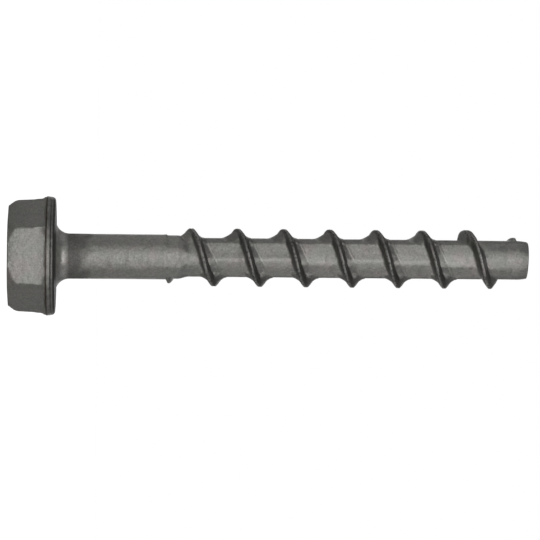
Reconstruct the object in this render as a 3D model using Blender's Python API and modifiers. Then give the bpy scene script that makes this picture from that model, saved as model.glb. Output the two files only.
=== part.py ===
"""Concrete screw: a hexagon flange head, a plain shank and a coarse rolled thread, in one piece.

The screw stands on its head. Its axis is +Z, with z = 0 on the flat end face of the head
and the cropped point at the top. One flat of the hexagon faces -Y.
"""

import math

import bmesh
import bpy
from mathutils import Matrix, Vector

MM = 0.001
TURN = 2.0 * math.pi
NAME = "concrete_screw"

# Hexagon
WRENCH_SIZE = 12.9 * MM             # across the flats, where the hexagon meets the flange
HEX_DRAFT = math.radians(2.2)       # lean of each flat towards the end face
HEX_HEIGHT = 4.75 * MM
HEX_EDGE_RADIUS = 0.45 * MM
CORNER_CUT = 0.7 * MM               # how far each corner is rounded off at the end face
CORNER_CUT_HEIGHT = 1.35 * MM
CORNER_CUT_BULGE = 0.14 * MM

# Flange
FLANGE_DIAMETER = 15.5 * MM
FLANGE_THICKNESS = 1.3 * MM
LIP_RADIUS = 0.32 * MM              # rounding on the side of the hexagon
RIM_RADIUS = 0.38 * MM              # rounding on the bearing side
RIM_TAPER = 0.12 * MM               # the rim is this much smaller at the bearing side

# Shank
SHANK_DIAMETER = 5.78 * MM
SHANK_LENGTH = 14.5 * MM            # from the bearing face to where the rolling starts
NECK_FILLET = 1.7 * MM
SCREW_LENGTH = 61.5 * MM            # from the bearing face to the point

# Rolled core
SHOULDER_DIAMETER = 5.66 * MM
SHOULDER_LENGTH = 1.3 * MM
CORE_DIAMETER = 4.93 * MM
CORE_TAPER = 1.6 * MM               # length over which the shoulder falls to the core
LOBES = 5                           # the dies leave the core very slightly lobed
LOBE_HEIGHT = 0.08 * MM
LOBE_CORNER = math.radians(215.0)   # direction of one lobe
LOBE_FADE = 2.4 * MM                # length over which the lobes come and go

# Point
END_DIAMETER = 5.04 * MM            # the last stretch is round, and a little thicker
END_LENGTH = 5.1 * MM
POINT_TAPER = 0.15 * MM             # how much the radius shrinks before the cropped end
POINT_TAPER_LENGTH = 1.5 * MM
POINT_RADIUS = 0.22 * MM            # rounding of the cropped end
SHEAR_ANGLE = math.radians(2.0)     # the end was sheared off slightly out of square

# Thread, right-handed
THREAD_DIAMETER = 7.52 * MM
PITCH = 6.0 * MM
CREST_LAG = 0.15 * MM               # the crest crosses +X this far after the rolling starts
CREST_WIDTH = 0.36 * MM
CREST_CHAMFER = 0.1 * MM
FLANK_ANGLE = math.radians(33.0)
FLARE_HEIGHT = 0.54 * MM            # the flanks flare out below this height over the core
FLARE_WIDTH = 1.1 * MM
FLARE_POWER = 1.6
ROOT_DEPTH = 0.35 * MM              # how deep the ridge is set into the core

# Ends of the thread, in turns of the helix unless they are heights
RUN_IN = 0.33                       # the crest rises to its full height
RUN_IN_DROP = 0.33 * MM
THIN_START = 0.6                    # not rolled to its full width up to here
THIN_START_CHANGE = 0.6             # and then widening
THIN_START_SHARE = 0.92
THREAD_END = 1.85 * MM              # from the point back to the end of the ridge
THIN_END = 0.8                      # thinner again for the last turns
THIN_END_CHANGE = 0.2
THIN_END_SHARE = 0.8
PLAIN_FOOT = 1.5                    # the last turns stand on the core with hardly any flare
PLAIN_FOOT_CHANGE = 0.3
PLAIN_FLARE = 0.25                  # share of the flare that is left there
RUN_OUT = 0.52                      # the crest falls again
RUN_OUT_DROP = 0.85 * MM
RUN_OUT_CLOSE = 0.07                # what is left of the ridge sinks away

# Blunt tooth in the last turns, which cuts its way into the concrete
BLUNT_HALF_WIDTH = 0.5 * MM
BLUNT_RISE = 0.1 * MM               # it stands this much above the rest of the crest
BLUNT_ROUNDING = 0.32 * MM
BLUNT_FOOT = 0.1 * MM               # its walls spread this much at the core
BLUNT_SHIFT = 0.22 * MM             # it leans this far towards the head
BLUNT_BEFORE_END = 1.0              # its middle, in turns before the end
BLUNT_SPAN = 0.16                   # turns on each side of its middle
BLUNT_FULL = 0.06                   # of those, the turns where it has its full section

# Fineness
ROUND_STEPS = 50                    # a multiple of LOBES, so that every lobe has like facets
STATIONS_PER_TURN = 32
EDGE_STEPS = 3                      # facets across the small roundings
RIM_STEPS = 4
NECK_STEPS = 7
CUT_STEPS = 5
FLARE_STEPS = 3
SMOOTH_ANGLE = math.radians(35.0)   # flatter joints than this are shaded smooth

# Galvanised steel
ZINC_COLOUR = (0.30, 0.295, 0.28, 1.0)
ZINC_ROUGHNESS = 0.5

BEARING_Z = HEX_HEIGHT + FLANGE_THICKNESS
ROLL_Z = BEARING_Z + SHANK_LENGTH
CORE_Z = ROLL_Z + SHOULDER_LENGTH + CORE_TAPER
POINT_Z = BEARING_Z + SCREW_LENGTH
END_Z = POINT_Z - END_LENGTH
RIDGE_HEIGHT = (THREAD_DIAMETER - CORE_DIAMETER) / 2.0
FLARE_SINK = LOBE_HEIGHT * 1.5      # the edge of the flare lies under the lobed surface
FIRST_CREST_Z = ROLL_Z + CREST_LAG
THREAD_TURNS = (POINT_Z - THREAD_END - FIRST_CREST_Z) / PITCH


def clear_scene():
    for item in list(bpy.data.objects):
        bpy.data.objects.remove(item, do_unlink=True)


def new_collection(name):
    collection = bpy.data.collections.new(name)
    bpy.context.scene.collection.children.link(collection)
    return collection


def add_object(name, mesh, collection):
    item = bpy.data.objects.new(name, mesh)
    collection.objects.link(item)
    return item


def mesh_from(bm, name):
    bmesh.ops.recalc_face_normals(bm, faces=bm.faces)
    mesh = bpy.data.meshes.new(name)
    bm.to_mesh(mesh)
    bm.free()
    return mesh


def mark_cutter(item):
    item.hide_render = True
    item.display_type = "WIRE"


def smooth(value, start, end):
    """0 before start, 1 after end, with an even slope between them."""
    share = min(max((value - start) / (end - start), 0.0), 1.0)
    return share * share * (3.0 - 2.0 * share)


def arc(centre, radius, start, end, count):
    """Points (r, z) on an arc, from the angle start to the angle end, in degrees."""
    points = []
    for i in range(count + 1):
        angle = math.radians(start + (end - start) * i / count)
        points.append((centre[0] + radius * math.cos(angle), centre[1] + radius * math.sin(angle)))
    return points


def bowed_line(start, end, bulge, count):
    """Points (r, z) from start to end on an arc that stands out to the right by bulge."""
    along = Vector(end) - Vector(start)
    side = Vector((along.y, -along.x)).normalized()
    points = []
    for i in range(count + 1):
        share = i / count
        point = Vector(start) + along * share + side * (4.0 * bulge * share * (1.0 - share))
        points.append((point.x, point.y))
    return points


def turned_mesh(name, profile, collection):
    """A profile (r, z), listed from its top down its outer side, turned about the Z axis."""
    mesh = bpy.data.meshes.new(name)
    points = [(r, 0.0, z) for r, z in profile]
    mesh.from_pydata(points, [(i, i + 1) for i in range(len(points) - 1)], [])
    item = add_object(name, mesh, collection)
    turn = item.modifiers.new("turn", "SCREW")
    turn.axis = "Z"
    turn.angle = TURN
    turn.steps = ROUND_STEPS
    turn.render_steps = ROUND_STEPS
    turn.use_merge_vertices = True
    turn.merge_threshold = 0.000001
    return item


def hex_across_flats(z):
    return WRENCH_SIZE - 2.0 * (HEX_HEIGHT - z) * math.tan(HEX_DRAFT)


def hex_corner_radius(z):
    """Radius of the sharp corner of the hexagon at height z."""
    return hex_across_flats(z) / 2.0 / math.cos(math.radians(30.0))


def hexagon(collection):
    """Drafted hexagon with rounded edges, reaching a little way into the flange."""
    height = HEX_HEIGHT + FLANGE_THICKNESS / 3.0
    bm = bmesh.new()
    bmesh.ops.create_cone(
        bm, segments=6, cap_ends=True, radius1=hex_corner_radius(0.0),
        radius2=hex_corner_radius(height), depth=height,
        matrix=Matrix.Translation((0.0, 0.0, height / 2.0)) @ Matrix.Rotation(TURN / 12.0, 4, "Z"))
    edges = [e for e in bm.edges if abs(e.verts[0].co.z - e.verts[1].co.z) > height / 2.0]
    offset = HEX_EDGE_RADIUS * math.tan(math.radians(30.0))
    bmesh.ops.bevel(bm, geom=edges, offset=offset, offset_type="OFFSET", segments=EDGE_STEPS,
                    profile=0.5, affect="EDGES")
    return add_object("hexagon", mesh_from(bm, "hexagon"), collection)


def corner_cut(collection):
    """Turned form whose lower edge rounds off the corners of the hexagon at the end face."""
    margin = FLANGE_THICKNESS
    foot = (hex_corner_radius(0.0) - CORNER_CUT, 0.0)
    top = (hex_corner_radius(CORNER_CUT_HEIGHT), CORNER_CUT_HEIGHT)
    outer = FLANGE_DIAMETER / 2.0 + margin
    profile = [(0.0, BEARING_Z + margin), (outer, BEARING_Z + margin), (outer, top[1] + margin / 2.0)]
    profile += reversed(bowed_line(foot, top, CORNER_CUT_BULGE, CUT_STEPS))
    profile += [(0.0, 0.0)]
    return turned_mesh("corner_cut", profile, collection)


def point_profile():
    """Outline (r, z) of the cropped point, from the axis down to the round end of the core."""
    end = END_DIAMETER / 2.0
    tip = end - POINT_TAPER
    taper = POINT_TAPER_LENGTH - POINT_RADIUS
    profile = [(0.0, POINT_Z)]
    profile += reversed(arc((tip - POINT_RADIUS, POINT_Z - POINT_RADIUS), POINT_RADIUS, 0, 90, EDGE_STEPS))
    for i in range(1, EDGE_STEPS):
        share = i / EDGE_STEPS
        profile += [(end - POINT_TAPER * (1.0 - share) ** 2, POINT_Z - POINT_RADIUS - taper * share)]
    return profile + [(end, POINT_Z - POINT_TAPER_LENGTH), (end, END_Z)]


def head_profile():
    """Outline (r, z) of the neck and the flange, down to the foot of the hexagon."""
    neck_r = SHANK_DIAMETER / 2.0 + NECK_FILLET
    rim_r = FLANGE_DIAMETER / 2.0 - RIM_TAPER - RIM_RADIUS
    lip_r = FLANGE_DIAMETER / 2.0 - LIP_RADIUS
    profile = arc((neck_r, BEARING_Z + NECK_FILLET), NECK_FILLET, 180, 270, NECK_STEPS)
    profile += reversed(arc((rim_r, BEARING_Z - RIM_RADIUS), RIM_RADIUS, 0, 90, RIM_STEPS))
    profile += reversed(arc((lip_r, HEX_HEIGHT + LIP_RADIUS), LIP_RADIUS, -60, 0, EDGE_STEPS))
    return profile + [(0.0, HEX_HEIGHT)]


def body_profile():
    """Outline (r, z) of the turned body, from the point down to the foot of the hexagon."""
    core = CORE_DIAMETER / 2.0
    shoulder = SHOULDER_DIAMETER / 2.0
    shank = SHANK_DIAMETER / 2.0
    step = (shank - shoulder) / 2.0
    profile = point_profile()
    profile += [((core + END_DIAMETER / 2.0) / 2.0, END_Z - LOBE_FADE / 2.0), (core, END_Z - LOBE_FADE)]
    profile += [(core, CORE_Z + LOBE_FADE), (core, CORE_Z + LOBE_FADE / 2.0), (core, CORE_Z)]
    profile += [((core + shoulder) / 2.0, CORE_Z - CORE_TAPER / 2.0)]
    profile += [(shoulder, CORE_Z - CORE_TAPER), (shoulder, ROLL_Z + step), (shank, ROLL_Z)]
    return profile + head_profile()


def lobe_share(z):
    """How strongly the core is lobed at height z, from 0 to 1."""
    return smooth(z, CORE_Z, CORE_Z + LOBE_FADE) * (1.0 - smooth(z, END_Z - LOBE_FADE, END_Z))


def roll_lobes(mesh):
    """Moves the points of the turned core onto the lobed section that the dies leave.

    The section is the curve whose tangents lie at radius + height * cos(LOBES * angle) from
    the axis, so that an odd count of lobes has the same width in every direction.
    """
    for vertex in mesh.vertices:
        x, y, z = vertex.co
        share = lobe_share(z)
        radius = math.hypot(x, y)
        if share == 0.0 or radius < CORE_DIAMETER / 4.0:
            continue
        angle = math.atan2(y, x)
        phase = LOBES * (angle - LOBE_CORNER)
        outward = radius + share * LOBE_HEIGHT * math.cos(phase)
        sideways = -share * LOBE_HEIGHT * LOBES * math.sin(phase)
        vertex.co.x = outward * math.cos(angle) - sideways * math.sin(angle)
        vertex.co.y = outward * math.sin(angle) + sideways * math.cos(angle)


def rolled_body(collection, cutters):
    """The turned body, with its core rolled to the lobed section."""
    blank = turned_mesh("blank", body_profile(), cutters)
    bpy.context.view_layer.update()
    evaluated = blank.evaluated_get(bpy.context.evaluated_depsgraph_get())
    mesh = bpy.data.meshes.new_from_object(evaluated)
    bpy.data.objects.remove(blank, do_unlink=True)
    roll_lobes(mesh)
    return add_object(NAME, mesh, collection)


def crest_drop(turns):
    """How far the crest lies below its full height, at so many turns after its start."""
    run_in = RUN_IN_DROP * (1.0 - smooth(turns, 0.0, RUN_IN))
    run_out = RUN_OUT_DROP * min(max((turns - THREAD_TURNS + RUN_OUT) / RUN_OUT, 0.0), 1.0)
    return run_in + run_out


def rolled_half():
    """Half of the ordinary section: points (from the middle of the crest, above the core)."""
    crest = CREST_WIDTH / 2.0
    foot = crest + (RIDGE_HEIGHT - FLARE_HEIGHT) * math.tan(FLANK_ANGLE)
    half = [(crest - CREST_CHAMFER, RIDGE_HEIGHT)]
    half += [(crest + CREST_CHAMFER * math.sin(FLANK_ANGLE),
              RIDGE_HEIGHT - CREST_CHAMFER * math.cos(FLANK_ANGLE))]
    for i in range(FLARE_STEPS):
        share = i / FLARE_STEPS
        half += [(foot + FLARE_WIDTH * share, FLARE_HEIGHT * (1.0 - share) ** FLARE_POWER)]
    return half + [(foot + FLARE_WIDTH, -FLARE_SINK), (foot + FLARE_WIDTH, -ROOT_DEPTH)]


def blunt_half():
    """Half of the blunt tooth's section, with as many points as the ordinary one."""
    top = RIDGE_HEIGHT + BLUNT_RISE - BLUNT_ROUNDING
    half = list(reversed(arc((BLUNT_HALF_WIDTH - BLUNT_ROUNDING, top), BLUNT_ROUNDING, 0, 90, 2)))
    walls = len(rolled_half()) - len(half) - 2
    half += [(BLUNT_HALF_WIDTH, top * (walls - i) / (walls + 1)) for i in range(walls)]
    foot = BLUNT_HALF_WIDTH + BLUNT_FOOT
    return half + [(foot, -FLARE_SINK), (foot, -ROOT_DEPTH)]


def ridge_section(turns):
    """Section of the ridge: points (along the axis from the crest, radius), head side first."""
    left = THREAD_TURNS - turns
    blunt = 1.0 - smooth(abs(left - BLUNT_BEFORE_END), BLUNT_FULL, BLUNT_SPAN)
    plain = 1.0 - smooth(left, PLAIN_FOOT - PLAIN_FOOT_CHANGE, PLAIN_FOOT)
    width = 1.0 - (1.0 - THIN_START_SHARE) * (1.0 - smooth(turns, THIN_START, THIN_START + THIN_START_CHANGE))
    width -= (1.0 - THIN_END_SHARE) * (1.0 - smooth(left, THIN_END - THIN_END_CHANGE, THIN_END))
    foot = CREST_WIDTH / 2.0 + RIDGE_HEIGHT * math.tan(FLANK_ANGLE)
    base = CORE_DIAMETER / 2.0 - crest_drop(turns)
    half = []
    for (across, up), (blunt_across, blunt_up) in zip(rolled_half(), blunt_half()):
        drawn_in = foot + (across - foot) * PLAIN_FLARE if across > foot else across
        across += (drawn_in - across) * plain
        across += (blunt_across - across) * blunt
        up += (blunt_up - up) * blunt
        half.append((across * width, base + up))
    points = [(-across, radius) for across, radius in reversed(half)] + half
    return [(along - BLUNT_SHIFT * blunt, radius) for along, radius in points]


def ridge(collection):
    """The thread's ridge: its section carried along the helix, changing as it goes."""
    lead = PITCH / TURN
    start = -RUN_IN / 2.0
    end = THREAD_TURNS + RUN_OUT_CLOSE
    count = round((end - start) * STATIONS_PER_TURN)
    bm = bmesh.new()
    rings = []
    for i in range(count + 1):
        turns = start + (end - start) * i / count
        angle = turns * TURN
        sunk = RIDGE_HEIGHT * smooth(turns, THREAD_TURNS, end)
        ring = []
        for along, radius in ridge_section(turns):
            r = radius - sunk
            z = FIRST_CREST_Z + lead * angle + along
            ring.append(bm.verts.new((r * math.cos(angle), r * math.sin(angle), z)))
        rings.append(ring)
    for low, high in zip(rings, rings[1:]):
        for j in range(len(low)):
            k = (j + 1) % len(low)
            bm.faces.new((low[j], low[k], high[k], high[j]))
    bm.faces.new(rings[0])
    bm.faces.new(rings[-1])
    return add_object("ridge", mesh_from(bm, "ridge"), collection)


def cylinder(name, radius, low, high, collection):
    bm = bmesh.new()
    bmesh.ops.create_cone(
        bm, segments=ROUND_STEPS, cap_ends=True, radius1=radius, radius2=radius,
        depth=high - low, matrix=Matrix.Translation((0.0, 0.0, (low + high) / 2.0)))
    return add_object(name, mesh_from(bm, name), collection)


def end_shear(collection):
    """Block that trims the point slightly out of square, highest on the -X side."""
    size = THREAD_DIAMETER * 2.0
    drop = CORE_DIAMETER / 2.0 * math.tan(SHEAR_ANGLE)
    bm = bmesh.new()
    bmesh.ops.create_cube(bm, size=size, matrix=Matrix.Translation((0.0, 0.0, size / 2.0)))
    item = add_object("end_shear", mesh_from(bm, "end_shear"), collection)
    item.location = (0.0, 0.0, POINT_Z - drop)
    item.rotation_euler = (0.0, SHEAR_ANGLE, 0.0)
    return item


def combine(item, other, operation):
    mark_cutter(other)
    step = item.modifiers.new(other.name, "BOOLEAN")
    step.operation = operation
    step.object = other
    step.solver = "EXACT"


def zinc_material():
    material = bpy.data.materials.new("galvanised_steel")
    material.use_nodes = True
    shader = material.node_tree.nodes["Principled BSDF"]
    shader.inputs["Base Color"].default_value = ZINC_COLOUR
    shader.inputs["Metallic"].default_value = 1.0
    shader.inputs["Roughness"].default_value = ZINC_ROUGHNESS
    return material


def build():
    clear_scene()
    parts = new_collection(NAME)
    cutters = new_collection("cutters")

    head = hexagon(cutters)
    combine(head, corner_cut(cutters), "INTERSECT")

    thread = ridge(cutters)
    unrolled = cylinder("unrolled_stretch", THREAD_DIAMETER, ROLL_Z - PITCH, ROLL_Z, cutters)
    combine(thread, unrolled, "DIFFERENCE")

    screw = rolled_body(parts, cutters)
    combine(screw, head, "UNION")
    combine(screw, thread, "UNION")
    combine(screw, end_shear(cutters), "DIFFERENCE")
    screw.data.materials.append(zinc_material())
    screw.data.shade_smooth()
    screw.data.set_sharp_from_angle(angle=SMOOTH_ANGLE)


build()
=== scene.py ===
"""Looks of the concrete screw: its forged head, plain shank and rolled thread, in dull zinc.

The screw stands on its head with its point up. The photograph shows it across the picture, so
the camera is rolled a quarter turn: picture right is +Z, and picture down is +X.
"""

import math

import bmesh
import bpy
from mathutils import Matrix, Vector, noise


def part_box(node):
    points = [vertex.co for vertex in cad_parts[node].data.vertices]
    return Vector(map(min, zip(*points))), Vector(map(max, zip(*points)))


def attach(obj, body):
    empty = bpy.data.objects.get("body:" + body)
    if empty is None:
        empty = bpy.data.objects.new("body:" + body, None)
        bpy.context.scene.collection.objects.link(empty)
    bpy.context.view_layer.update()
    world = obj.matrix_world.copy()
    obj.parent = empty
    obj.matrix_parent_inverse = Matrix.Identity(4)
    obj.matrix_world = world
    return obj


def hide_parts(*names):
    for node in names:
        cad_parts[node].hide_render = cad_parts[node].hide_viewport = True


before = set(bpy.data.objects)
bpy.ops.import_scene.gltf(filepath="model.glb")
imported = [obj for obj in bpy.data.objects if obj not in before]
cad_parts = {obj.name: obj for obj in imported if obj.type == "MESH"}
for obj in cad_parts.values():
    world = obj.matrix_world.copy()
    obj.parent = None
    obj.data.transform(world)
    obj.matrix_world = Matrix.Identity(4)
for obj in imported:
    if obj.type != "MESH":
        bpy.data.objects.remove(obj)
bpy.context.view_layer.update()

MM = 0.001
TURN = 2.0 * math.pi
NODE = "concrete_screw"

# Places taken from the screw's box in model.glb
low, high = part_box(NODE)
POINT_Z = high[2]
FLANGE_RADIUS = (high[0] - low[0]) / 2.0
REACH = (high[1] - low[1]) / 2.0

# Hexagon
HEX_HEIGHT = 4.86 * MM              # from the end face to the fold where the flange starts
WRENCH_SIZE = 12.9 * MM             # across the flats at the flange
FULL_HEX_HEIGHT = 4.75 * MM
HEX_DRAFT = math.radians(2.2)
CORNER_ROUND = 0.45 * MM             # rounding of the six upright edges
CORNER_ROUND_END = 0.06 * MM        # they get sharp where the hexagon meets the flange
CORNER_FLARE_Z = 3.15 * MM
CORNER_FLARE_LENGTH = 0.75 * MM
FOOT_Z = 4.16 * MM                  # the hexagon's foot spreads out from here, as an arc
FOOT_RADIUS = 0.8 * MM
FOOT_LEDGE = 0.03 * MM               # the foot stops this far inside the lip
FOLD_Z = 4.74 * MM                  # between the corners the side folds in here, beside the lip
FOLD_RADIUS = 0.12 * MM
CORNER_CUT = 0.8 * MM
CORNER_CUT_HEIGHT = 1.35 * MM
CORNER_CUT_BULGE = 0.11 * MM
CUT_BLEND = 0.12 * MM
END_EDGE = 0.14 * MM

# Flange
RIM_TOP_Z = 5.03 * MM               # widest line of the lip
LIP_RADIUS = 0.14 * MM
LEDGE_RADIUS = 7.67 * MM            # where the lip's face starts beside the hexagon
RIM_GROOVE = 0.045 * MM
RIM_GROOVE_Z = 5.42 * MM
RIM_BEAD = 0.085 * MM
RIM_BEAD_Z = 5.62 * MM
BEARING_Z = 6.11 * MM
RIM_RADIUS = 0.5 * MM
NECK_FILLET = 1.82 * MM

# Shank and core
SHANK_RADIUS = 2.91 * MM
SHANK_SWELL = 0.03 * MM             # the shank is a little thicker near the neck
SHANK_SWELL_Z = 13.0 * MM
ROLL_Z = 20.55 * MM
SHOULDER_RADIUS = 2.83 * MM
SHOULDER_LENGTH = 1.3 * MM
CORE_RADIUS = 2.465 * MM
CORE_TAPER = 1.6 * MM
ROLL_LIP = 0.03 * MM                # burr where the dies first bite
ROLL_LIP_WIDTH = 0.16 * MM
ROLL_STEP = 0.06 * MM               # the step down to the shoulder, sharp at -X and +X
ROLL_STEP_SOFT = 0.5 * MM
CORE_ROUND_RADIUS = 2.53 * MM
SHARP = 0.07 * MM                   # rounding of the flats' edges
SOFT = 0.24 * MM
CORE_FLATS = [(257.4, 1.98 * MM, SHARP), (307.0, 2.08 * MM, SOFT), (77.4, 1.98 * MM, SHARP),
              (135.0, 1.94 * MM, SHARP)]
FLAT_HALF_SPAN = math.radians(37.0)
FLAT_BULGE = 0.12 * MM
EDGE_FACING = math.radians(284.5)   # the edge between the two flats at the front
EDGE_PLACES = [-9.0, -10.0, 0.0, -8.0, -4.0, 6.0]   # it lies this many degrees aside in each gap
EDGE_SPAN = math.radians(66.0)
FLAT_FADE = 2.4 * MM
END_RADIUS = 2.52 * MM
END_LENGTH = 5.1 * MM
CORE_Z = ROLL_Z + SHOULDER_LENGTH + CORE_TAPER
END_Z = POINT_Z - END_LENGTH

# Cropped point
POINT_TAPER = 0.12 * MM
POINT_TAPER_LENGTH = 1.6 * MM
SHEAR_ANGLE = math.radians(2.0)
EDGE_ROUND = 0.22 * MM
EDGE_ROUND_SWING = 0.1 * MM         # rounder towards -X, sharper towards +X

# Thread
PITCH = 6.0 * MM
THREAD_RADIUS = 3.78 * MM
RIDGE_HEIGHT = THREAD_RADIUS - CORE_RADIUS
FIRST_CREST_Z = ROLL_Z + 0.11 * MM
THREAD_END = 1.85 * MM
THREAD_TURNS = (POINT_Z - THREAD_END - FIRST_CREST_Z) / PITCH
CREST_HALF = 0.18 * MM
CREST_CHAMFER = 0.09 * MM
FLANK_WIDTH = 0.49 * MM
SLIM_HEAD_SIDE = 0.35               # the flanks are this much steeper at the front and the back
SLIM_POINT_SIDE = 0.4
SLIM_LEAN = 0.42                    # steeper still where the ridge turns away from the eye
BROAD_CREST = 0.3                   # the crest is broader there
HEAD_SIDE_CUT = 0.95                # the flats cut this share off the flare on the head's side
POINT_SIDE_CUT = 0.5
CUT_WIDTH = 0.45
FLARE_HEIGHT = 0.54 * MM
FLARE_WIDTH = 1.1 * MM
FLARE_POWER = 1.6
LONG_FLARE = 0.35                   # towards -X the flare on the head's side is longer
DIE_EDGE = 0.045 * MM               # bead that the die's edge leaves on the point side
DIE_EDGE_WIDTH = 0.075 * MM
DIE_EDGE_PLACE = 1.5 * MM           # from the middle of the crest
RUN_IN = 0.33
RUN_IN_DROP = 0.33 * MM
CREST_FOLD = 0.12 * MM              # unfilled groove along the first turn's crest
CREST_FOLD_TURNS = 1.1
THIN_START = 0.6
THIN_START_CHANGE = 0.6
THIN_START_SHARE = 0.92
THIN_END = 0.45
THIN_END_CHANGE = 0.2
THIN_END_SHARE = 0.8
PLAIN_FOOT = 1.5
PLAIN_FOOT_CHANGE = 0.3
PLAIN_FLARE = 0.25
RUN_OUT = 0.52
RUN_OUT_DROP = 0.85 * MM
RUN_OUT_CLOSE = 0.07
BLUNT_HALF_WIDTH = 0.5 * MM
BLUNT_RISE = 0.1 * MM
BLUNT_ROUNDING = 0.32 * MM
BLUNT_SHIFT = 0.22 * MM
BLUNT_BEFORE_END = 1.0
BLUNT_SPAN = 0.16
BLUNT_FULL = 0.06

# Small dents: height of the dent, angle about the axis in degrees, width and depth
DENTS = [
    (43.75 * MM, -73.7, 0.28 * MM, 0.16 * MM),
    (56.2 * MM, -46.0, 0.22 * MM, 0.14 * MM),
    (62.2 * MM, -47.0, 0.3 * MM, 0.2 * MM),
    (61.9 * MM, -73.0, 0.24 * MM, 0.15 * MM),
    (31.4 * MM, -128.0, 0.24 * MM, 0.1 * MM),
    (22.9 * MM, -150.0, 0.4 * MM, 0.16 * MM),
]

# Unevenness of the forged and rolled skin
SKIN_WAVE = 0.010 * MM
SKIN_WAVE_LENGTH = 2.6 * MM
SKIN_RIPPLE = 0.0045 * MM
SKIN_RIPPLE_LENGTH = 0.8 * MM

# Fineness
AROUND = 112
ROWS_PER_PITCH = 60
CORNER_STEPS = 12
SIDE_STEPS = 26


def smooth(value, start, end):
    """0 before start, 1 after end, with an even slope between them."""
    share = min(max((value - start) / (end - start), 0.0), 1.0)
    return share * share * (3.0 - 2.0 * share)


def soft_min(a, b, blend):
    """The smaller of two lengths, with the joint between them rounded over blend."""
    share = min(max(0.5 + 0.5 * (b - a) / blend, 0.0), 1.0)
    return b + (a - b) * share - blend * share * (1.0 - share)


def skin(point, strength=1.0):
    """Height of the uneven skin at a point."""
    wave = noise.noise(point / SKIN_WAVE_LENGTH) * SKIN_WAVE
    ripple = noise.noise(point / SKIN_RIPPLE_LENGTH) * SKIN_RIPPLE
    return (wave + ripple) * strength


# Thread and core: the distance of the skin from the axis, at an angle and a height

def crest_drop(turns):
    run_in = RUN_IN_DROP * (1.0 - smooth(turns, 0.0, RUN_IN))
    run_out = RUN_OUT_DROP * min(max((turns - THREAD_TURNS + RUN_OUT) / RUN_OUT, 0.0), 1.0)
    return run_in + run_out


def rolled_height(across, full, plain, narrowing, flare_cut, crest, spread):
    """Height of the ordinary ridge over the core, at a distance from the middle of its crest."""
    foot_height = FLARE_HEIGHT * (1.0 - flare_cut) * (1.0 + 0.8 * (spread - 1.0))
    foot = crest + FLANK_WIDTH * (1.0 - narrowing)
    flare = FLARE_WIDTH * spread * (1.0 - (1.0 - PLAIN_FLARE) * plain) * (1.0 - CUT_WIDTH * flare_cut)
    if across < foot:
        flank = full - (across - crest) / (foot - crest) * (full - foot_height)
        return soft_min(flank, full, CREST_CHAMFER)
    share = (across - foot) / flare
    if share >= 1.0:
        return -RIDGE_HEIGHT
    return foot_height * (1.0 - share) ** (FLARE_POWER - flare_cut)


def blunt_height(across, full):
    """Height of the blunt tooth, which is square with rounded edges."""
    top = full + BLUNT_RISE
    edge = across - (BLUNT_HALF_WIDTH - BLUNT_ROUNDING)
    if edge <= 0.0:
        return top
    if edge < BLUNT_ROUNDING:
        return top - BLUNT_ROUNDING + math.sqrt(BLUNT_ROUNDING ** 2 - edge ** 2)
    return top - BLUNT_ROUNDING - (edge - BLUNT_ROUNDING) * 8.0


def ridge_height(turns, along, core):
    """Height of the ridge over the core at so many turns, along the axis from its crest."""
    left = THREAD_TURNS - turns
    if turns < -RUN_IN or left < -RUN_OUT_CLOSE:
        return -RIDGE_HEIGHT
    full = THREAD_RADIUS - core
    pressed = smooth(CORE_ROUND_RADIUS - core, 0.0, 0.2 * MM)
    slim = smooth(abs(math.sin(turns * TURN)), 0.38, 0.7)
    if along < 0.0:
        pressed = max(pressed, 1.0 - smooth(turns, 1.0, 1.3))
    flare_cut = (HEAD_SIDE_CUT if along < 0.0 else POINT_SIDE_CUT) * pressed * slim
    lean = SLIM_LEAN * min(max(-math.cos(turns * TURN) / 0.6, -1.0), 1.0)
    narrowing = (SLIM_HEAD_SIDE + lean if along < 0.0 else SLIM_POINT_SIDE - lean) * slim
    blunt = 1.0 - smooth(abs(left - BLUNT_BEFORE_END), BLUNT_FULL, BLUNT_SPAN)
    plain = 1.0 - smooth(left, PLAIN_FOOT - PLAIN_FOOT_CHANGE, PLAIN_FOOT)
    started = smooth(turns, THIN_START, THIN_START + THIN_START_CHANGE)
    ending = 1.0 - smooth(left, THIN_END - THIN_END_CHANGE, THIN_END)
    width = 1.0 - (1.0 - THIN_START_SHARE) * (1.0 - started) - (1.0 - THIN_END_SHARE) * ending
    across = abs(along + BLUNT_SHIFT * blunt) / width
    crest = CREST_HALF * (1.0 + BROAD_CREST * slim)
    spread = 1.0 + (LONG_FLARE * smooth(-math.cos(turns * TURN), 0.6, 0.9) if along < 0.0 else 0.0)
    height = rolled_height(across, full, plain, narrowing, flare_cut, crest, spread)
    if blunt > 0.0:
        height += (blunt_height(across, full) - height) * blunt
    fold = 1.0 - smooth(turns, CREST_FOLD_TURNS * 0.8, CREST_FOLD_TURNS)
    height -= CREST_FOLD * fold * math.exp(-(across / (CREST_HALF * 0.55)) ** 2)
    height -= crest_drop(turns)
    return height - RIDGE_HEIGHT * smooth(turns, THREAD_TURNS, THREAD_TURNS + RUN_OUT_CLOSE)


def die_edge(turns, along):
    """Fine bead where the flare on the point side runs out into the core."""
    left = THREAD_TURNS - turns
    if turns < 0.4 or left < PLAIN_FOOT - 0.4:
        return 0.0
    return DIE_EDGE * math.exp(-((along - DIE_EDGE_PLACE) / DIE_EDGE_WIDTH) ** 2)


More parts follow.
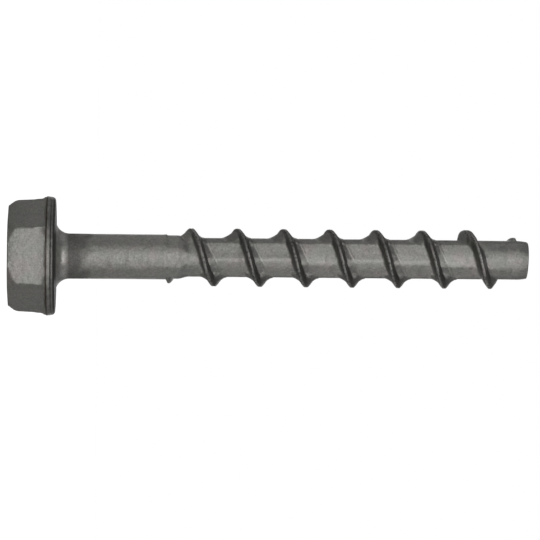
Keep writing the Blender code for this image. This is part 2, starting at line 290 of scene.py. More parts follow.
def flattened_radius(angle):
    """The rolled core's section: round, with gently bowed flats that the dies have pressed."""
    radius = CORE_ROUND_RADIUS
    for facing, distance, blend in CORE_FLATS:
        turn = (angle - math.radians(facing) + math.pi) % TURN - math.pi
        if abs(turn) < FLAT_HALF_SPAN * 1.5:
            share = math.tan(turn) / math.tan(FLAT_HALF_SPAN)
            flat = distance / math.cos(turn) + FLAT_BULGE * (1.0 - share * share)
            radius = soft_min(radius, flat, blend)
    return radius


def edge_aside(angle, z):
    """How far the front edge of the flats is moved round the axis, at an angle and a height."""
    turn = (angle - EDGE_FACING + math.pi) % TURN - math.pi
    if abs(turn) >= EDGE_SPAN:
        return 0.0
    gap = (z - FIRST_CREST_Z) / PITCH - 1.25
    first = min(max(math.floor(gap), 0), len(EDGE_PLACES) - 1)
    second = min(max(math.floor(gap) + 1, 0), len(EDGE_PLACES) - 1)
    share = smooth(gap - math.floor(gap), 0.35, 0.65)
    degrees = EDGE_PLACES[first] + (EDGE_PLACES[second] - EDGE_PLACES[first]) * share
    degrees += noise.noise(Vector((0.0, 0.0, z / (1.3 * MM)))) * 2.5
    return math.radians(degrees) * math.cos(turn / EDGE_SPAN * math.pi / 2.0) ** 2


def core_radius(angle, z):
    """Distance of the core's skin from the axis."""
    share = smooth(z, CORE_Z - 1.0 * MM, CORE_Z + FLAT_FADE)
    share *= 1.0 - smooth(z, END_Z - FLAT_FADE, END_Z)
    pressed = flattened_radius(angle - edge_aside(angle, z))
    outward = CORE_ROUND_RADIUS + (pressed - CORE_ROUND_RADIUS) * share
    outward += (END_RADIUS - CORE_ROUND_RADIUS) * smooth(z, END_Z - FLAT_FADE, END_Z)
    shoulder = 1.0 - smooth(z, CORE_Z - CORE_TAPER, CORE_Z)
    outward += (SHOULDER_RADIUS - CORE_ROUND_RADIUS) * shoulder
    step = ROLL_STEP_SOFT - (ROLL_STEP_SOFT - ROLL_STEP) * abs(math.cos(angle)) ** 4
    shank = 1.0 - smooth(z, ROLL_Z - step, ROLL_Z + step)
    outward += (SHANK_RADIUS - SHOULDER_RADIUS) * shank
    lip = ROLL_LIP * max(-math.cos(angle), 0.0) ** 8
    return outward + lip * math.exp(-((z - ROLL_Z + ROLL_LIP_WIDTH) / ROLL_LIP_WIDTH) ** 2)


def dent_depth(point):
    depth = 0.0
    for z, degrees, width, deep in DENTS:
        angle = math.radians(degrees)
        radius = math.hypot(point.x, point.y)
        place = Vector((radius * math.cos(angle), radius * math.sin(angle), z))
        depth += deep * math.exp(-((point - place).length / width) ** 2)
    return depth


def shaft_point(angle, z):
    """Point on the skin of the shank, core and thread."""
    turns = round((z - FIRST_CREST_Z) / PITCH - angle / TURN) + angle / TURN
    along = z - FIRST_CREST_Z - turns * PITCH
    core = core_radius(angle, z)
    rolled = smooth(z, ROLL_Z - 0.03 * MM, ROLL_Z + 0.09 * MM)
    base = min(core, CORE_ROUND_RADIUS)
    ridge = base + ridge_height(turns, along, base)
    ridge = core + (ridge - core) * rolled
    radius = -soft_min(-core, -ridge, 0.03 * MM) + die_edge(turns, along) * rolled
    point = Vector((radius * math.cos(angle), radius * math.sin(angle), z))
    radius += skin(point) - dent_depth(point)
    return Vector((radius * math.cos(angle), radius * math.sin(angle), z))


# Modelling

def deselect():
    bpy.ops.object.select_all(action="DESELECT")


def rename(name):
    piece = bpy.context.object
    piece.name = name
    piece.data.name = name
    return piece


def place_ring(place):
    """Moves each selected point to place(angle), its angle about the axis kept."""
    bm = bmesh.from_edit_mesh(bpy.context.object.data)
    for vertex in bm.verts:
        if vertex.select:
            vertex.co = place(math.atan2(vertex.co.y, vertex.co.x))
    bmesh.update_edit_mesh(bpy.context.object.data)


def extrude_ring(place):
    """Lengthens the open edge that is selected by one ring."""
    bpy.ops.mesh.extrude_edges_move()
    place_ring(place)


def ring(radius, z):
    """Round ring with the skin's unevenness."""
    def place(angle):
        point = Vector((radius * math.cos(angle), radius * math.sin(angle), z))
        uneven = min(radius + skin(point), REACH)
        return Vector((uneven * math.cos(angle), uneven * math.sin(angle), z))
    return place


def arc(centre_r, centre_z, radius, start, end, count):
    """Points (r, z) on an arc, from the angle start to the angle end, in degrees."""
    points = []
    for i in range(count + 1):
        angle = math.radians(start + (end - start) * i / count)
        points.append((centre_r + radius * math.cos(angle), centre_z + radius * math.sin(angle)))
    return points


def row_offset(share):
    """Place of a row between two crests, as a share of half a pitch: closer near the crest."""
    return share * (0.45 + 0.55 * abs(share))


def threaded_shaft():
    """A grid rolled up along the thread, so that its rows follow the ridge, and cut square."""
    first = -2
    pitches = math.ceil((POINT_Z - FIRST_CREST_Z) / PITCH) + 1 - first
    deselect()
    bpy.ops.mesh.primitive_grid_add(x_subdivisions=AROUND, y_subdivisions=pitches * ROWS_PER_PITCH, size=2.0)
    shaft = rename("shaft")
    for vertex in shaft.data.vertices:
        angle = (vertex.co.x + 1.0) * math.pi
        rows = (vertex.co.y + 1.0) / 2.0 * pitches
        whole = math.floor(rows + 1e-6)
        share = (rows - whole) * 2.0 - 1.0
        z = FIRST_CREST_Z + PITCH * (first + whole + 0.5 + row_offset(share) / 2.0 + angle / TURN)
        vertex.co = shaft_point(angle, z)
    bpy.ops.object.mode_set(mode="EDIT")
    bpy.ops.mesh.select_all(action="SELECT")
    bpy.ops.mesh.remove_doubles(threshold=0.0005 * MM)
    bpy.ops.mesh.normals_make_consistent(inside=False)
    return shaft


def cut_shaft(z, keep_above):
    """Cuts the shaft square at a height and leaves the cut edge selected."""
    bpy.ops.mesh.select_all(action="SELECT")
    bpy.ops.mesh.bisect(plane_co=(0.0, 0.0, z), plane_no=(0.0, 0.0, 1.0), threshold=1e-7,
                        clear_inner=keep_above, clear_outer=not keep_above)


def crop_point():
    """Rounds the edge of the sheared end and closes the end face."""
    start = POINT_Z - POINT_TAPER_LENGTH
    cut_shaft(start, keep_above=False)

    def end_plane(x):
        return POINT_Z - (x + END_RADIUS) * math.tan(SHEAR_ANGLE)

    def rounded(taper, turn):
        def place(angle):
            edge = EDGE_ROUND - EDGE_ROUND_SWING * math.cos(angle)
            radius = END_RADIUS - POINT_TAPER * taper * taper - edge * (1.0 - math.cos(turn))
            top = end_plane(END_RADIUS * math.cos(angle)) - edge
            z = start + (top - start) * taper + edge * math.sin(turn)
            point = Vector((radius * math.cos(angle), radius * math.sin(angle), z))
            radius += skin(point, 1.5)
            return Vector((radius * math.cos(angle), radius * math.sin(angle), z))
        return place

    for i in range(1, 13):
        extrude_ring(rounded(i / 12.0, 0.0))
    for i in range(1, 9):
        extrude_ring(rounded(1.0, i / 8.0 * math.pi / 2.0))
    outer = END_RADIUS - POINT_TAPER

    def face(share):
        def place(angle):
            radius = (outer - EDGE_ROUND + EDGE_ROUND_SWING * math.cos(angle)) * share
            x = radius * math.cos(angle)
            y = radius * math.sin(angle)
            uneven = min(skin(Vector((x, y, POINT_Z)), 3.0) - 0.02 * MM, 0.0)
            return Vector((x, y, end_plane(x) + uneven * (1.0 - share ** 6)))
        return place

    for share in (0.92, 0.8, 0.66, 0.5, 0.34, 0.18, 0.06):
        extrude_ring(face(share))
    bpy.ops.mesh.merge(type="CENTER")


def flange_profile():
    """Outline (r, z) from the shank down the neck and round the flange to the hexagon."""
    start = ROLL_Z - 1.0 * MM
    points = []
    neck_top = BEARING_Z + NECK_FILLET
    count = round((start - neck_top) / (0.4 * MM))
    for i in range(1, count):
        z = start + (neck_top - start) * i / count
        swell = SHANK_SWELL * (1.0 - smooth(z, neck_top, SHANK_SWELL_Z))
        points.append((SHANK_RADIUS + swell, z))
    inner = SHANK_RADIUS + SHANK_SWELL + NECK_FILLET
    points += arc(inner, neck_top, NECK_FILLET, 180, 270, 18)
    rim = FLANGE_RADIUS - RIM_BEAD
    for share in (0.2, 0.4, 0.6, 0.8):
        points.append((inner + (rim - RIM_RADIUS - inner) * share, BEARING_Z))
    points += reversed(arc(rim - RIM_RADIUS, BEARING_Z - RIM_RADIUS, RIM_RADIUS, 0, 90, 9))
    points.append((rim, RIM_BEAD_Z))
    points.append((FLANGE_RADIUS - RIM_GROOVE, RIM_GROOVE_Z))
    for share in (0.35, 0.7):
        z = RIM_GROOVE_Z + (RIM_TOP_Z - RIM_GROOVE_Z) * share
        points.append((FLANGE_RADIUS - RIM_GROOVE * (1.0 - smooth(share, 0.0, 1.0)), z))
    centre = FLANGE_RADIUS - LIP_RADIUS
    lowest = -math.degrees(math.acos((LEDGE_RADIUS - centre) / LIP_RADIUS))
    points += reversed(arc(centre, RIM_TOP_Z, LIP_RADIUS, lowest, 0, 9))
    return points


def forge_flange():
    """The plain shank, the neck and the flange, drawn out from the shaft's lower end."""
    cut_shaft(ROLL_Z - 1.0 * MM, keep_above=True)
    for radius, z in flange_profile():
        extrude_ring(ring(radius, z))
    bpy.ops.object.mode_set(mode="OBJECT")


def across_flats(z):
    return WRENCH_SIZE - 2.0 * (FULL_HEX_HEIGHT - z) * math.tan(HEX_DRAFT)


def corner_limit(z):
    """How far from the axis the rounded-off corners reach near the end face."""
    low_r = across_flats(0.0) / 2.0 / math.cos(TURN / 12.0) - CORNER_CUT
    high_r = across_flats(CORNER_CUT_HEIGHT) / 2.0 / math.cos(TURN / 12.0)
    share = min(z / CORNER_CUT_HEIGHT, 1.0)
    if z > CORNER_CUT_HEIGHT:
        return high_r + (z - CORNER_CUT_HEIGHT)
    return low_r + (high_r - low_r) * share + 4.0 * CORNER_CUT_BULGE * share * (1.0 - share)


def foot_spread(z, cornerness):
    """How far the foot spreads beyond the sides at height z; away from the corners it folds in."""
    rise = max(z - FOOT_Z, 0.0)
    spread = FOOT_RADIUS - math.sqrt(FOOT_RADIUS ** 2 - rise ** 2)
    drop = min(max(z - FOLD_Z, 0.0), FOLD_RADIUS)
    fold = FOLD_RADIUS - math.sqrt(FOLD_RADIUS ** 2 - drop ** 2)
    return spread * cornerness - fold * (1.0 - cornerness)


def hex_outline(step, z):
    """Point on the hexagon's rounded outline; six corners and six sides, counted by steps."""
    steps = CORNER_STEPS + SIDE_STEPS
    side, part = divmod(step, steps)
    flat = math.radians(-90.0 + 60.0 * side)
    blunt = 1.0 - smooth(z, CORNER_FLARE_Z, CORNER_FLARE_Z + CORNER_FLARE_LENGTH)
    rounding = CORNER_ROUND_END + (CORNER_ROUND - CORNER_ROUND_END) * blunt
    inner = (across_flats(z) / 2.0 - rounding) / math.cos(TURN / 12.0)

    def corner(turn, facing):
        centre = Vector((math.cos(flat + turn), math.sin(flat + turn), 0.0)) * inner
        return centre + Vector((math.cos(facing), math.sin(facing), 0.0)) * rounding

    if part <= CORNER_STEPS:
        facing = flat - TURN / 6.0 * (1.0 - part / CORNER_STEPS)
        point = corner(-TURN / 12.0, facing)
        cornerness = 1.0
    else:
        facing = flat
        share = (part - CORNER_STEPS) / SIDE_STEPS
        point = corner(-TURN / 12.0, flat).lerp(corner(TURN / 12.0, flat), share)
        cornerness = smooth(abs(share - 0.5), 0.18, 0.5)
    return point + Vector((math.cos(facing), math.sin(facing), 0.0)) * foot_spread(z, cornerness)


def hexagon_head():
    """The hexagon, drawn out ring by ring from beside the flange to the bare end face."""
    count = 6 * (CORNER_STEPS + SIDE_STEPS)
    deselect()
    bpy.ops.mesh.primitive_circle_add(vertices=count, radius=WRENCH_SIZE / 2.0, location=(0.0, 0.0, 0.0))
    head = rename("head")
    bpy.ops.object.mode_set(mode="EDIT")
    bpy.ops.mesh.select_all(action="SELECT")

    def side_ring(z, inset=0.0):
        """Takes the selected ring, in its order round the circle, to the outline at height z."""
        bm = bmesh.from_edit_mesh(head.data)
        chosen = sorted((v for v in bm.verts if v.select), key=lambda v: math.atan2(v.co.y, v.co.x))
        places = [hex_outline(step, max(z, END_EDGE)) for step in range(count)]
        limit = corner_limit(max(z, END_EDGE))
        shaped = []
        for place in places:
            radius = soft_min(place.length, limit, CUT_BLEND)
            radius = min(radius, LEDGE_RADIUS - FOOT_LEDGE)
            shaped.append(place * ((radius - inset) / place.length))
        shaped.sort(key=lambda p: math.atan2(p.y, p.x))
        for vertex, place in zip(chosen, shaped):
            point = Vector((place.x, place.y, z))
            vertex.co = point + Vector((place.x, place.y, 0.0)).normalized() * skin(point, 0.6)
        bmesh.update_edit_mesh(head.data)

    side_ring(HEX_HEIGHT)
    heights = [HEX_HEIGHT - (HEX_HEIGHT - FOOT_Z) * i / 9.0 for i in range(1, 10)]
    heights += [FOOT_Z - (FOOT_Z - CORNER_CUT_HEIGHT) * i / 14.0 for i in range(1, 15)]
    heights += [CORNER_CUT_HEIGHT - (CORNER_CUT_HEIGHT - END_EDGE) * i / 18.0 for i in range(1, 19)]
    for z in heights:
        bpy.ops.mesh.extrude_edges_move()
        side_ring(z)
    for i in range(1, 7):
        turn = i / 6.0 * math.pi / 2.0
        bpy.ops.mesh.extrude_edges_move()
        side_ring(END_EDGE * (1.0 - math.sin(turn)), END_EDGE * (1.0 - math.cos(turn)))
    for share in (0.9, 0.75, 0.6, 0.45, 0.3, 0.15, 0.04):
        bpy.ops.mesh.extrude_edges_move()
        side_ring(0.0, END_EDGE + across_flats(0.0) / 2.0 * (1.0 - share))
    bpy.ops.mesh.merge(type="CENTER")
    bpy.ops.object.mode_set(mode="OBJECT")
    return head


def join_head(shaft, head):
    """Joins the hexagon to the flange with the ledge between their two open edges."""
    deselect()
    head.select_set(True)
    shaft.select_set(True)
    bpy.context.view_layer.objects.active = shaft
    bpy.ops.object.join()
    bpy.ops.object.mode_set(mode="EDIT")
    bpy.ops.mesh.select_mode(type="EDGE")
    bpy.ops.mesh.select_all(action="DESELECT")
    bpy.ops.mesh.select_non_manifold()
    bpy.ops.mesh.bridge_edge_loops()
    bpy.ops.mesh.select_mode(type="VERT")
    bpy.ops.mesh.select_all(action="SELECT")
    bpy.ops.mesh.normals_make_consistent(inside=False)
    bpy.ops.object.mode_set(mode="OBJECT")
    return rename("galvanised_screw")


# Finish

SMOOTH_NECK_Z = 9.3 * MM
SMOOTH_NECK_CHANGE = 1.3 * MM
# Painted shade: the neck next to the flange is this many times as bright
NECK_PAINTED_SHADE = 0.74
NECK_ROUGHER = 0.32
FILLET_Z = 7.56 * MM
# Painted highlight: the fillet is this many times as bright
FILLET_PAINTED_HIGHLIGHT = 1.32
FILLET_SMOOTHER = 0.02
RIM_SHADE = 0.78
# Painted shade on the steep flanks beside the crest
FLANK_PAINTED_SHADE = 0.6
CREST_FLECK_SHADE = 0.5
# Painted shade on the sloping flare on the point side of the ridge
POINT_FLARE_PAINTED_SHADE = 0.86
ROUND_SKIN_PAINTED_SHADE = 0.76              # painted shade on the skin that the dies haven't pressed flat
# Painted highlight along the die's bead
DIE_EDGE_PAINTED_HIGHLIGHT = 1.25
TIP_SHADE = 0.87
TIP_Z = 59.5 * MM
# The painted shade of the bearing face starts this far from the axis
BEARING_REACH = 3.8 * MM
SEAM_Z = 5.02 * MM


class Finish:
    """A material being made: adds nodes and joins them."""

    def __init__(self, name):
        self.material = bpy.data.materials.new(name)
        self.material.use_nodes = True
        self.nodes = self.material.node_tree.nodes
        self.links = self.material.node_tree.links
        self.shader = self.nodes["Principled BSDF"]
        self.place = self.nodes.new("ShaderNodeTexCoord").outputs["Object"]

    def put(self, value, socket):
        """Joins an output to a socket, or sets the socket to a number or colour."""
        if isinstance(value, bpy.types.NodeSocket):
            self.links.new(value, socket)
        else:
            socket.default_value = value

    def noise(self, size, detail=2.0, rough=0.5, distortion=0.0):
        """Noise whose patches are about size across."""
        node = self.nodes.new("ShaderNodeTexNoise")
        self.put(self.place, node.inputs["Vector"])
        node.inputs["Scale"].default_value = 1.0 / size
        node.inputs["Detail"].default_value = detail
        node.inputs["Roughness"].default_value = rough
        node.inputs["Distortion"].default_value = distortion
        return node.outputs["Fac"]

    def span(self, value, low_in, high_in, low_out=0.0, high_out=1.0):
        node = self.nodes.new("ShaderNodeMapRange")
        self.put(value, node.inputs["Value"])
        node.inputs["From Min"].default_value = low_in
        node.inputs["From Max"].default_value = high_in
        node.inputs["To Min"].default_value = low_out
        self.put(high_out, node.inputs["To Max"])
        return node.outputs["Result"]

    def math(self, operation, first, second=0.0):
        node = self.nodes.new("ShaderNodeMath")
        node.operation = operation
        self.put(first, node.inputs[0])
        self.put(second, node.inputs[1])
        return node.outputs["Value"]

    def mix(self, share, first, second, blend="MIX"):
        node = self.nodes.new("ShaderNodeMix")
        node.data_type = "RGBA"
        node.blend_type = blend
        self.put(share, node.inputs["Factor"])
        self.put(first, node.inputs[6])
        self.put(second, node.inputs[7])
        return node.outputs[2]

    def part(self, name):
        """One coordinate; Z is the height along the screw."""
        node = self.nodes.new("ShaderNodeSeparateXYZ")
        self.put(self.place, node.inputs[0])
        return node.outputs[name]

    def reach(self):
        """Distance from the screw's axis."""
        node = self.nodes.new("ShaderNodeVectorMath")
        node.operation = "MULTIPLY"
        self.put(self.place, node.inputs[0])
        node.inputs[1].default_value = (1.0, 1.0, 0.0)
        length = self.nodes.new("ShaderNodeVectorMath")
        length.operation = "LENGTH"
        self.links.new(node.outputs[0], length.inputs[0])
        return length.outputs["Value"]

    def bump(self, value, depth, strength, below=None):
        node = self.nodes.new("ShaderNodeBump")
        node.inputs["Distance"].default_value = depth
        node.inputs["Strength"].default_value = strength
        self.put(value, node.inputs["Height"])
        if below is not None:
            self.put(below, node.inputs["Normal"])
        return node.outputs["Normal"]


def thread_shade(f, z, reach):
    """Painted shade on the flanks beside the crest, on the flare on the point side and on the round skin beside the
    flats; a painted highlight along the die's bead; dark flecks on the crest.
    """
    around = f.math("DIVIDE", f.math("ARCTAN2", f.part("Y"), f.part("X")), TURN)
    turns = f.math("SUBTRACT", f.math("DIVIDE", f.math("SUBTRACT", z, FIRST_CREST_Z), PITCH), around)
    along = f.math("MULTIPLY", f.math("SUBTRACT", turns, f.math("ROUND", turns)), PITCH)
    # Painted shade: the steep flanks on both sides of the crest are darkened, weaker in patches
    head_flank_painted_shade = f.math("MULTIPLY", f.span(along, -0.5 * MM, -0.42 * MM), f.span(along, -0.12 * MM, -0.2 * MM))
    point_flank_painted_shade = f.math("MULTIPLY", f.span(along, 0.12 * MM, 0.2 * MM), f.span(along, 0.55 * MM, 0.47 * MM))
    threaded = f.math("MULTIPLY", f.span(z, ROLL_Z + 1.0 * MM, ROLL_Z + 2.0 * MM),
                      f.span(z, POINT_Z - 3.7 * MM, POINT_Z - 4.2 * MM))
    flank = f.math("MULTIPLY", f.math("MAXIMUM", head_flank_painted_shade, point_flank_painted_shade), threaded)
    # Patches in which the painted shade of the flanks and the painted highlight of the die's bead are weaker
    painted_patchiness = f.span(f.noise(0.35 * MM, 2.0), 0.3, 0.6, 0.75, 1.0)
    shade = f.span(f.math("MULTIPLY", flank, painted_patchiness), 0.0, 1.0, 1.0, FLANK_PAINTED_SHADE)
    crest = f.math("MULTIPLY", f.span(reach, 3.5 * MM, 3.6 * MM), f.span(z, ROLL_Z, ROLL_Z + 0.1 * MM))
    fleck = f.math("MULTIPLY", crest, f.span(f.noise(0.3 * MM, 1.0), 0.52, 0.62))
    shade = f.math("MULTIPLY", shade, f.span(fleck, 0.0, 1.0, 1.0, CREST_FLECK_SHADE))
    # Painted shade on the sloping flare on the point side of the ridge, up to the die's bead
    point_flare_painted_shade = f.math("MULTIPLY", f.span(along, 0.5 * MM, 0.65 * MM), f.span(along, 1.42 * MM, 1.36 * MM))
    die_marked = f.math("MULTIPLY", threaded, f.span(z, POINT_Z - 7.0 * MM, POINT_Z - 8.0 * MM))
    # Painted shade on the round skin beside the pressed flats, on the sides turned away from the front
    round_skin_painted_shade = f.math("MULTIPLY", f.span(reach, 2.46 * MM, 2.51 * MM), die_marked)
    round_skin_painted_shade = f.math("MULTIPLY", round_skin_painted_shade, f.span(z, CORE_Z + 0.6 * MM, CORE_Z + 1.6 * MM))
    shade = f.math("MULTIPLY", shade, f.span(round_skin_painted_shade, 0.0, 1.0, 1.0, ROUND_SKIN_PAINTED_SHADE))
    point_flare_painted_shade = f.math("MULTIPLY", point_flare_painted_shade, die_marked)
    # Painted highlight: a thin bright line along the die's bead, fading out towards +X
    edge = f.span(f.math("ABSOLUTE", f.math("SUBTRACT", along, DIE_EDGE_PLACE)), 0.07 * MM, 0.14 * MM, 1.0, 0.0)
    edge = f.math("MULTIPLY", f.math("MULTIPLY", edge, die_marked), painted_patchiness)
    edge = f.math("MULTIPLY", edge, f.span(f.part("X"), 0.8 * MM, 0.4 * MM))
    shade = f.math("MULTIPLY", shade, f.span(point_flare_painted_shade, 0.0, 1.0, 1.0, POINT_FLARE_PAINTED_SHADE))
    return f.math("MULTIPLY", shade, f.span(edge, 0.0, 1.0, 1.0, DIE_EDGE_PAINTED_HIGHLIGHT))


def dull_zinc():
    """Zinc coating: grey, faintly mottled green and pink, finely speckled, dull, with painted shade and painted
    highlights laid on its colour.
    """
    f = Finish("dull_zinc")
    z = f.part("Z")
    wander = f.math("MULTIPLY", f.math("SUBTRACT", f.noise(2.2 * MM, 1.5), 0.5), 5.0 * MM)
    wandering_z = f.math("ADD", z, wander)
    rough_part = f.span(wandering_z, SMOOTH_NECK_Z, SMOOTH_NECK_Z + SMOOTH_NECK_CHANGE)
    head_part = f.span(z, BEARING_Z, BEARING_Z - 0.4 * MM)
    rough_part = f.math("MAXIMUM", rough_part, head_part)

    tint = f.mix(f.span(f.noise(2.4 * MM, 3.0), 0.42, 0.6),
                 (0.405, 0.410, 0.385, 1.0), (0.435, 0.415, 0.398, 1.0))
    speckle = f.span(f.noise(0.22 * MM, 2.0, 0.7), 0.3, 0.7, 0.8, 1.2)
    mottle = f.span(f.noise(0.7 * MM, 3.0, 0.6), 0.3, 0.7, 0.9, 1.1)
    shade = f.math("MULTIPLY", speckle, mottle)
    # Painted shade on the neck between the fillet and the rough shank, where the flange shades it; the same zone is
    # also made rougher
    neck = f.math("MULTIPLY", f.math("SUBTRACT", 1.0, rough_part),
                  f.span(z, FILLET_Z - 0.3 * MM, FILLET_Z + 0.3 * MM))
    shade = f.math("MULTIPLY", shade, f.span(neck, 0.0, 1.0, 1.0, NECK_PAINTED_SHADE))
    # Painted highlight on the fillet under the neck, which is also made smoother
    fillet_painted_highlight_and_gloss = f.math("MULTIPLY", f.span(z, BEARING_Z, BEARING_Z + 0.1 * MM),
                    f.span(z, FILLET_Z + 0.3 * MM, FILLET_Z - 0.3 * MM))
    shade = f.math("MULTIPLY", shade, f.span(fillet_painted_highlight_and_gloss, 0.0, 1.0, 1.0, FILLET_PAINTED_HIGHLIGHT))
    reach = f.reach()
    shade = f.math("MULTIPLY", shade, thread_shade(f, z, reach))
    shade = f.math("MULTIPLY", shade, f.span(z, TIP_Z, TIP_Z + 2.0 * MM, 1.0, TIP_SHADE))
    rim = f.math("MULTIPLY", f.span(z, HEX_HEIGHT, HEX_HEIGHT + 0.05 * MM), head_part)
    uneven = f.span(f.noise(0.9 * MM, 2.0), 0.3, 0.7, RIM_SHADE - 0.14, RIM_SHADE + 0.14)
    shade = f.math("MULTIPLY", shade, f.span(rim, 0.0, 1.0, 1.0, uneven))
    colour = f.mix(1.0, tint, shade, "MULTIPLY")

    # Dark brown seam where the hexagon meets the flange: a rust-brown tint, and painted shade in the crevice
    seam_rust_and_painted_shade = f.span(f.math("ABSOLUTE", f.math("SUBTRACT", z, SEAM_Z)), 0.06 * MM, 0.14 * MM, 1.0, 0.0)
    patchy = f.span(f.noise(1.6 * MM, 2.0), 0.3, 0.6, 0.78, 1.0)
    colour = f.mix(f.math("MULTIPLY", seam_rust_and_painted_shade, patchy), colour, (0.09, 0.070, 0.056, 1.0))

    # Painted shade: the flange's bearing face, the rounding of its rim and the outer fillet are made near black, not
    # metallic and with little gloss
    bearing_painted_shade = f.math("MULTIPLY", f.span(z, BEARING_Z - 0.42 * MM, BEARING_Z - 0.18 * MM),
                     f.span(reach, BEARING_REACH, BEARING_REACH + 0.5 * MM))
    colour = f.mix(bearing_painted_shade, colour, (0.052, 0.052, 0.05, 1.0))
    f.put(colour, f.shader.inputs["Base Color"])
    f.put(f.math("SUBTRACT", 1.0, bearing_painted_shade), f.shader.inputs["Metallic"])
    f.put(f.span(bearing_painted_shade, 0.0, 1.0, 0.5, 0.04), f.shader.inputs["Specular IOR Level"])

    roughness = f.span(f.noise(0.7 * MM, 3.0), 0.3, 0.7, 0.36, 0.44)
    roughness = f.math("ADD", roughness, f.math("MULTIPLY", neck, NECK_ROUGHER))
    roughness = f.math("SUBTRACT", roughness, f.math("MULTIPLY", fillet_painted_highlight_and_gloss, FILLET_SMOOTHER))
    f.put(roughness, f.shader.inputs["Roughness"])

    grain = f.bump(f.noise(0.16 * MM, 3.0, 0.6), 0.03 * MM, 0.4)
    pits = f.bump(f.noise(0.5 * MM, 2.0), 0.06 * MM, 0.5, grain)
    swells = f.bump(f.noise(1.4 * MM, 2.0), 0.16 * MM, 0.7, pits)
    f.put(swells, f.shader.inputs["Normal"])
    return f.material


# Light, floor and camera

FLOOR_SIZE = 0.9
FLOOR_COLOUR = (0.8, 0.8, 0.79, 1.0)
FLOOR_LIFT = 0.9                   # what turns the pale floor white
FLOOR_LIFT_STARTS = 0.2             # metal shows the lifted floor only this far from the screw
FLOOR_LIFT_FULL = 0.5
PAINTED_GLOW = 0.42                        # painted pool of light on the floor just in front of the head, seen only in the metal
PAINTED_GLOW_SLOPE = 0.45
ROOM_LIGHT = 0.14
BACKDROP_HALF_ANGLE = math.radians(16.0)
BACKDROP_EDGE = math.radians(14.0)
FRONT_DISTANCE = 0.7
CAMERA_PLACE = (0.017 * MM, -467.85 * MM, 17.144 * MM)
CAMERA_AIM = (1.56 * MM, 0.0, 33.952 * MM)
CAMERA_ROLL = math.radians(0.55)
LENS = 240.06
SENSOR = 36.0


def softbox(name, towards_point, towards_down, wide, high, brightness):
    """Square lamp on a sphere round the screw; angles from the front, sizes in degrees too."""
    along = math.radians(towards_point)
    across = math.radians(towards_down)
    light = bpy.data.lights.new(name, "AREA")
    light.shape = "RECTANGLE"
    light.size = 2.0 * FRONT_DISTANCE * math.tan(math.radians(wide / 2.0))
    light.size_y = 2.0 * FRONT_DISTANCE * math.tan(math.radians(high / 2.0))
    light.energy = brightness * math.pi * light.size * light.size_y
    lamp = bpy.data.objects.new(name, light)
    bpy.context.scene.collection.objects.link(lamp)
    out = Vector((math.sin(across) * math.cos(along), -math.cos(across) * math.cos(along), math.sin(along)))
    lamp.location = Vector((0.0, 0.0, POINT_Z / 2.0)) + out * FRONT_DISTANCE
    lamp.rotation_euler = out.to_track_quat("Z", "Y").to_euler()
    return lamp


def studio_light():
    softbox("front_centre", 7.0, 0.0, 36.0, 16.0, 1.4)
    softbox("front_upper", 10.0, -34.0, 36.0, 22.0, 0.55)
    softbox("front_lower", 10.0, 38.0, 36.0, 22.0, 0.85)
    softbox("high_softbox", 46.0, 5.0, 50.0, 22.0, 1.2)
    softbox("side_upper", 22.0, -105.0, 50.0, 44.0, 0.12)
    softbox("side_lower", 22.0, 100.0, 50.0, 44.0, 0.18)


def room():
    """Plain room. A white backdrop fills the view behind the screw; metal shows it there too."""
    world = bpy.data.worlds.new("room")
    bpy.context.scene.world = world
    world.use_nodes = True
    nodes = world.node_tree.nodes
    links = world.node_tree.links
    background = nodes["Background"]
    background.inputs["Color"].default_value = (ROOM_LIGHT, ROOM_LIGHT, ROOM_LIGHT, 1.0)
    white = nodes.new("ShaderNodeBackground")
    white.inputs["Color"].default_value = (1.0, 1.0, 1.0, 1.0)
    path = nodes.new("ShaderNodeLightPath")
    geometry = nodes.new("ShaderNodeNewGeometry")
    split = nodes.new("ShaderNodeSeparateXYZ")
    links.new(geometry.outputs["Position"], split.inputs[0])
    behind = nodes.new("ShaderNodeMapRange")
    links.new(split.outputs["Y"], behind.inputs["Value"])
    behind.inputs["From Min"].default_value = math.cos(BACKDROP_HALF_ANGLE + BACKDROP_EDGE)
    behind.inputs["From Max"].default_value = math.cos(BACKDROP_HALF_ANGLE)
    shown = nodes.new("ShaderNodeMath")
    shown.operation = "MAXIMUM"
    links.new(path.outputs["Is Glossy Ray"], shown.inputs[0])
    links.new(path.outputs["Is Transmission Ray"], shown.inputs[1])
    reflected = nodes.new("ShaderNodeMath")
    reflected.operation = "MULTIPLY"
    links.new(shown.outputs[0], reflected.inputs[0])
    links.new(behind.outputs["Result"], reflected.inputs[1])
    seen = nodes.new("ShaderNodeMath")
    seen.operation = "MAXIMUM"
    links.new(path.outputs["Is Camera Ray"], seen.inputs[0])
    links.new(reflected.outputs[0], seen.inputs[1])
    mix = nodes.new("ShaderNodeMixShader")
    links.new(seen.outputs[0], mix.inputs[0])
    links.new(background.outputs[0], mix.inputs[1])
    links.new(white.outputs[0], mix.inputs[2])
    links.new(mix.outputs[0], nodes["World Output"].inputs["Surface"])


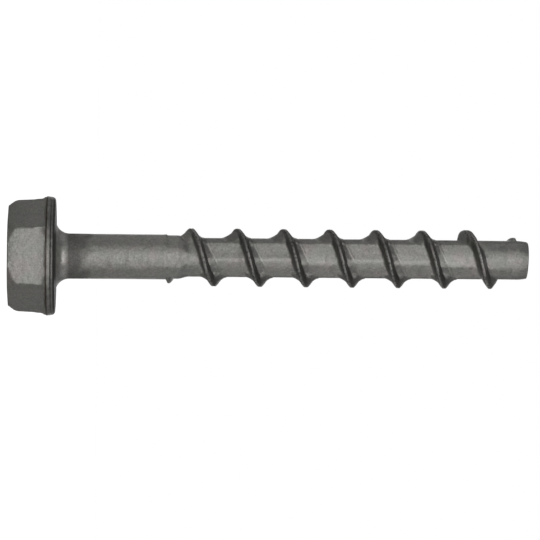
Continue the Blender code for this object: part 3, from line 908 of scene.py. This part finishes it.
def floor():
    """Pale floor under the head. It is lifted to white for the camera and in the metal, and a painted pool of light
    glows just in front of the head in the metal.
    """
    deselect()
    bpy.ops.mesh.primitive_circle_add(vertices=96, radius=FLOOR_SIZE, fill_type="NGON")
    plane = rename("floor")
    material = bpy.data.materials.new("pale_floor")
    material.use_nodes = True
    nodes = material.node_tree.nodes
    links = material.node_tree.links
    shader = nodes["Principled BSDF"]
    shader.inputs["Base Color"].default_value = FLOOR_COLOUR
    shader.inputs["Roughness"].default_value = 0.9
    shader.inputs["Emission Color"].default_value = (1.0, 1.0, 1.0, 1.0)

    def value(operation, first, second):
        node = nodes.new("ShaderNodeMath")
        node.operation = operation
        for socket, given in zip(node.inputs, (first, second)):
            if isinstance(given, float):
                socket.default_value = given
            else:
                links.new(given, socket)
        return node.outputs["Value"]

    def span(given, start, end):
        node = nodes.new("ShaderNodeMapRange")
        links.new(given, node.inputs["Value"])
        node.inputs["From Min"].default_value = start
        node.inputs["From Max"].default_value = end
        return node.outputs["Result"]

    path = nodes.new("ShaderNodeLightPath")
    place = nodes.new("ShaderNodeTexCoord").outputs["Object"]
    split = nodes.new("ShaderNodeSeparateXYZ")
    links.new(place, split.inputs[0])
    reach = nodes.new("ShaderNodeVectorMath")
    reach.operation = "LENGTH"
    links.new(place, reach.inputs[0])
    metal = value("MAXIMUM", path.outputs["Is Glossy Ray"], path.outputs["Is Transmission Ray"])
    far = span(reach.outputs["Value"], FLOOR_LIFT_STARTS, FLOOR_LIFT_FULL)
    lift = value("MAXIMUM", path.outputs["Is Camera Ray"], value("MULTIPLY", metal, far))

    # Painted reflection: a glowing patch of floor just in front of the head, seen only by glossy and transmission rays
    aside = value("ADD", value("ABSOLUTE", split.outputs["X"], 0.0), value("MULTIPLY", split.outputs["Y"], PAINTED_GLOW_SLOPE))
    ahead = span(aside, 0.003, -0.003)
    ring = value("MULTIPLY", span(reach.outputs["Value"], 0.008, 0.011), span(reach.outputs["Value"], 0.04, 0.028))
    painted_glow = value("MULTIPLY", value("MULTIPLY", ahead, ring), value("MULTIPLY", metal, PAINTED_GLOW))
    links.new(value("ADD", value("MULTIPLY", lift, FLOOR_LIFT), painted_glow), shader.inputs["Emission Strength"])
    plane.data.materials.append(material)
    return plane


def camera():
    data = bpy.data.cameras.new("camera")
    data.lens = LENS
    data.sensor_width = SENSOR
    data.clip_start = 0.01
    data.clip_end = 10.0
    item = bpy.data.objects.new("camera", data)
    bpy.context.scene.collection.objects.link(item)
    place = Vector(CAMERA_PLACE)
    back = (place - Vector(CAMERA_AIM)).normalized()
    up = Vector((-1.0, 0.0, 0.0))
    right = up.cross(back).normalized()
    up = back.cross(right)
    turned = Matrix((right, up, back)).transposed().to_4x4() @ Matrix.Rotation(CAMERA_ROLL, 4, "Z")
    item.matrix_world = Matrix.Translation(place) @ turned
    bpy.context.scene.camera = item


def build():
    shaft = threaded_shaft()
    crop_point()
    forge_flange()
    screw = join_head(shaft, hexagon_head())
    screw.data.materials.append(dull_zinc())
    deselect()
    screw.select_set(True)
    bpy.ops.object.shade_smooth()
    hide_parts(NODE)
    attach(screw, "root")
    floor()
    room()
    studio_light()
    camera()
    bpy.context.scene.view_settings.view_transform = "Standard"


build()
